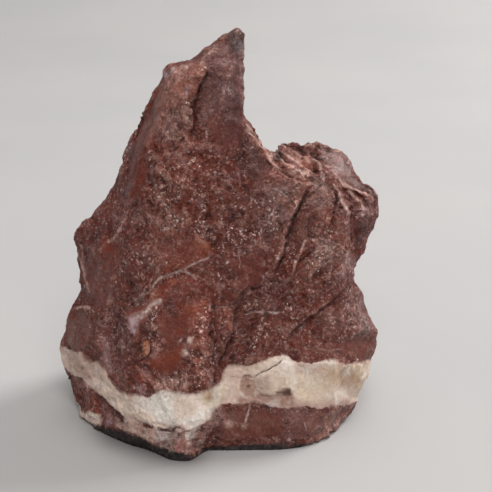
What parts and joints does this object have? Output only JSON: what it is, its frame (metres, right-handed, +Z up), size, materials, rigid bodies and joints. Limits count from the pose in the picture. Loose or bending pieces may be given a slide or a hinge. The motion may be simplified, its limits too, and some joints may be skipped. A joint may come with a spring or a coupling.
{
  "type": "calcite specimen",
  "caption": "Rough hand specimen of red-brown calcite rock with a blade-like point, a lower knobbly shoulder and a pale band across its foot.",
  "frame": {"origin": "centre of the bounding box in plan, on the worn break at z = 0 that the stone stands on", "axes": "+Z up through the point, -Y out of the broad broken face that the pale band crosses, +X to the right of it"},
  "size_m": [0.0834, 0.0584, 0.1005],
  "materials": {
    "red_calcite": "rough broken rock, waxy where fresh"
  },
  "bodies": {
    "root": {"calcite_specimen": "red_calcite"}
  },
  "joints": []
}
